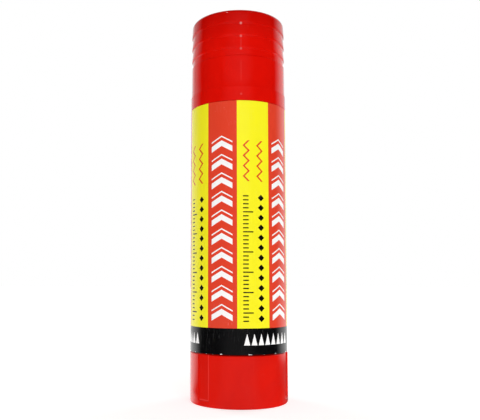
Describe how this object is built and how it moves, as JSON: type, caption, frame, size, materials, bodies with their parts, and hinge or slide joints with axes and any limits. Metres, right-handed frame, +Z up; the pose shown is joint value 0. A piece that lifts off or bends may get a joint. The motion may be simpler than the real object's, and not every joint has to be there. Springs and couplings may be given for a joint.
{
  "type": "glue stick",
  "caption": "Twist-up glue stick: round barrel with striped wrap label, push-on ringed cap, twist knob, and a screw that lifts the glue in its sliding cup.",
  "frame": {"origin": "middle of the flat ring under the knob, which the stick stands on", "axes": "+Z up along the stick's axis towards the cap, -Y towards the front of the label, +X to its right"},
  "size_m": [0.0256, 0.0256, 0.101],
  "materials": {
    "cap_red": "gloss",
    "barrel_red": "gloss",
    "label_print": "gloss",
    "knob_red": "gloss",
    "natural_white": "satin",
    "glue": "matt"
  },
  "bodies": {
    "barrel": {"barrel": "barrel_red", "label": "label_print"},
    "knob": {"base_knob": "knob_red", "spindle": "natural_white"},
    "carrier": {"carrier_cup": "natural_white", "glue_stick": "glue"},
    "cap": {"cap": "cap_red"}
  },
  "joints": [
    {"name": "knob_turn", "type": "hinge", "parent": "barrel", "child": "knob", "pos_m": [0, 0, 0], "axis": [0, 0, 1], "range_deg": [0, 5040]},
    {"name": "carrier_lift", "type": "slide", "parent": "barrel", "child": "carrier", "axis": [0, 0, 1], "range_m": [0, 0.07]},
    {"name": "cap_pull", "type": "slide", "parent": "carrier", "child": "cap", "axis": [0, 0, 1], "range_m": [0, 0.035]}
  ],
  "couplings": [
    {"joint": "carrier_lift", "follows": "knob_turn", "m_per_rad": 0.00079577}
  ]
}
